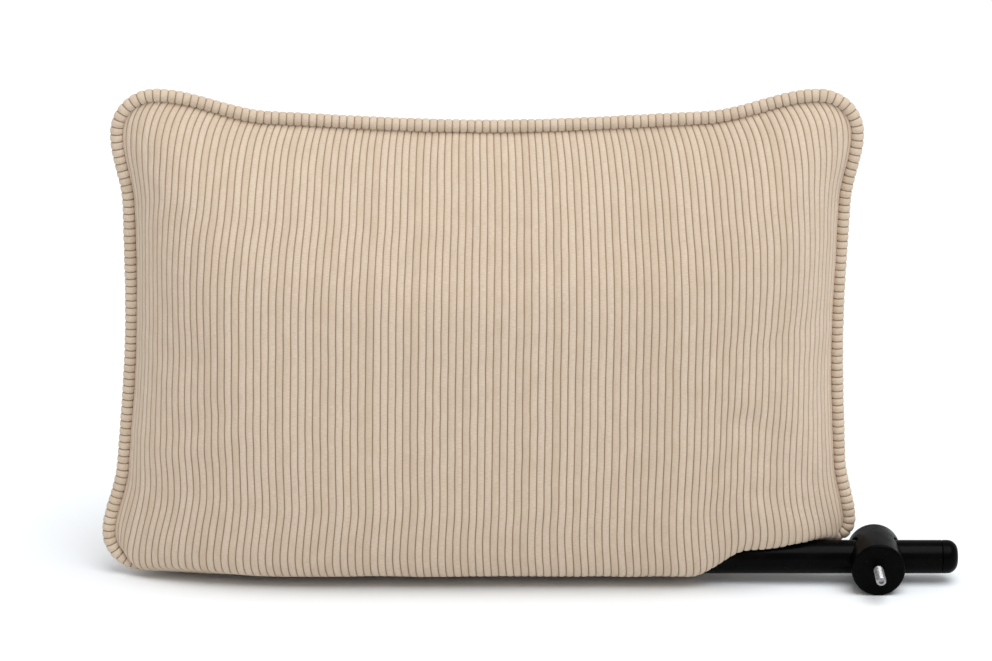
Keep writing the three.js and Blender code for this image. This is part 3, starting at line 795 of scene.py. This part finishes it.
def plain_cloth(name, light, dark, threads=900.0):
    """A plain weave from two crossed waves."""
    n = Nodes(name)
    place = object_place(n)
    waves = {"Vector": place, "Scale": threads / 6.28}
    warp = n.add("ShaderNodeTexWave", waves, bands_direction="X").outputs["Fac"]
    weft = n.add("ShaderNodeTexWave", waves, bands_direction="Z").outputs["Fac"]
    weave = n.math("MULTIPLY", warp, weft)
    patches = n.noise(place, 40.0, 3.0)
    shade = n.math("ADD", n.math("MULTIPLY", weave, 0.5), n.math("MULTIPLY", patches, 0.5))
    return n.set(
        Base_Color=n.mix(n.ramp(shade, 0.2, 0.8), dark, light),
        Roughness=n.ramp(patches, 0.3, 0.7, 0.85, 0.97),
        Normal=n.bump(weave, 0.4, 0.0002),
    )


def fibrous(name, light, dark, size=250.0):
    n = Nodes(name)
    place = object_place(n)
    cells = n.noise(place, size, 5.0, 0.7)
    return n.set(
        Base_Color=n.mix(n.ramp(cells, 0.3, 0.7), dark, light),
        Roughness=n.ramp(cells, 0.3, 0.7, 0.9, 1.0),
        Normal=n.bump(cells, 0.6, 0.0008),
    )


def satin(name, colour, worn, metallic=0.0):
    n = Nodes(name)
    place = object_place(n)
    spots = n.noise(place, 400.0, 3.0)
    return n.set(
        Base_Color=n.mix(n.ramp(spots, 0.3, 0.7), colour, worn),
        Metallic=metallic,
        Roughness=n.ramp(spots, 0.3, 0.7, 0.35, 0.55),
        Normal=n.bump(spots, 0.1, 0.0001),
    )


def paint(material, *objects):
    for made in objects:
        made.data.materials.clear()
        made.data.materials.append(material)


# ---- Build --------------------------------------------------------------------------------------------

cloth = corduroy()
front = waled_cover("front_cover_cloth", -1, FRONT_DEPTH)
back = waled_cover("back_cover_cloth", 1, BACK_DEPTH)
piping = piping_object()
for piece, nodes in ((front, ["front_cover"]), (back, ["back_cover"]), (piping, ["piping_cover"])):
    paint(cloth, piece)
    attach(piece, "cushion")
    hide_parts(*nodes)

coat, plastic, zinc = powder_coat(), moulded_black(), zinc_plate()
bar, cap = bar_objects()
block = block_object()
stud = stud_object()
for piece, material, slot, body, node in (
    (bar, coat, "black_steel", "cushion", "mounting_bar"),
    (cap, plastic, "black_plastic", "cushion", "bar_end_cap_right"),
    (block, plastic, "black_plastic", "clamp", "clamp_block"),
    (stud, zinc, "zinc", "stud", "clamp_stud"),
):
    paint(material, piece)
    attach(piece, body)
    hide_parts(node)

nylon = satin("nylon", (0.05, 0.05, 0.05, 1), (0.08, 0.08, 0.08, 1))
teeth = satin("zip_teeth", (0.56, 0.44, 0.31, 1), (0.66, 0.54, 0.4, 1))
brass = satin("brass", (0.55, 0.40, 0.15, 1), (0.66, 0.50, 0.22, 1), 1.0)
tape = plain_cloth("zip_tape", (0.56, 0.42, 0.29, 1), (0.44, 0.31, 0.2, 1))
lining = plain_cloth("liner", (0.82, 0.79, 0.72, 1), (0.7, 0.66, 0.58, 1))
wadding = fibrous("wadding", (0.92, 0.91, 0.88, 1), (0.8, 0.79, 0.75, 1), 120.0)
foam = fibrous("foam", (0.83, 0.75, 0.5, 1), (0.66, 0.57, 0.34, 1), 700.0)
webbing = plain_cloth("webbing", (0.09, 0.09, 0.09, 1), (0.03, 0.03, 0.03, 1), 2400.0)

CAD_MATERIALS = [
    (coat, ["mounting_bar", "support_hoop"]),
    (plastic, ["clamp_block", "bar_end_cap_right", "bar_end_cap_left"]),
    (zinc, ["clamp_stud", "zip_slider", "zip_pull", "zip_stop_left", "zip_stop_right"]),
    (nylon, ["bore_bush", "thrust_pad"]),
    (teeth, ["zip_teeth_upper", "zip_teeth_lower"]),
    (brass, ["threaded_insert"]),
    (tape, ["zip_tape_upper", "zip_tape_lower"]),
    (lining, ["liner_front", "liner_back", "piping_cord"]),
    (wadding, ["wadding_front", "wadding_back"]),
    (foam, ["foam_front", "foam_back"]),
    (webbing, [f"webbing_strap_{number}" for number in (1, 2, 3, 4)]),
]
for material, names in CAD_MATERIALS:
    paint(material, *[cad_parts[name] for name in names])

# ---- Floor, light and camera --------------------------------------------------------------------------


def floor_object(size=30.0):
    mesh = bpy.data.meshes.new("floor")
    h = size / 2
    mesh.from_pydata([(-h, -h, 0), (h, -h, 0), (h, h, 0), (-h, h, 0)], [], [(0, 1, 2, 3)])
    made = bpy.data.objects.new("floor", mesh)
    bpy.context.scene.collection.objects.link(made)
    n = Nodes("studio_floor")
    paint(n.set(Base_Color=(0.90, 0.93, 0.96, 1), Roughness=0.9, Specular_IOR_Level=0.1), made)
    return made


SUN_FROM = (0.22, -0.36, 1.0)
SUN_STRENGTH = 2.3
SUN_ANGLE = 50.0  # degrees across, for soft shadows
SKY_STRENGTH = 0.56


def studio():
    """A bright floor in an even white room, and one very large soft light from above the front."""
    floor_object()
    world = bpy.data.worlds.new("studio")
    world.use_nodes = True
    background = world.node_tree.nodes["Background"]
    background.inputs["Color"].default_value = (1, 1, 1, 1)
    background.inputs["Strength"].default_value = SKY_STRENGTH
    bpy.context.scene.world = world
    bpy.context.scene.view_settings.view_transform = "Standard"
    light = bpy.data.lights.new("overhead_softbox", "SUN")
    light.energy = SUN_STRENGTH
    light.angle = np.radians(SUN_ANGLE)
    made = bpy.data.objects.new("overhead_softbox", light)
    made.rotation_euler = Vector(SUN_FROM).to_track_quat("Z", "Y").to_euler()
    bpy.context.scene.collection.objects.link(made)


CAMERA_ELEVATION = 16.5
CAMERA_DISTANCE = 3.5
PICTURE_WIDTH = 0.784  # metres of the object's plane across the picture
AIM = (0.0107, 0.2105)  # x from the cushion's middle, and z


def camera():
    data = bpy.data.cameras.new("camera")
    data.sensor_width = 36.0
    data.lens = 36.0 * CAMERA_DISTANCE / PICTURE_WIDTH
    data.clip_end = 50.0
    made = bpy.data.objects.new("camera", data)
    target = Vector((ORIGIN.x + AIM[0], ORIGIN.y, AIM[1]))
    elevation = np.radians(CAMERA_ELEVATION)
    offset = Vector((0.0, -np.cos(elevation), np.sin(elevation))) * CAMERA_DISTANCE
    made.location = target + offset
    made.rotation_euler = (-offset).to_track_quat("-Z", "Y").to_euler()
    bpy.context.scene.collection.objects.link(made)
    bpy.context.scene.camera = made


studio()
camera()
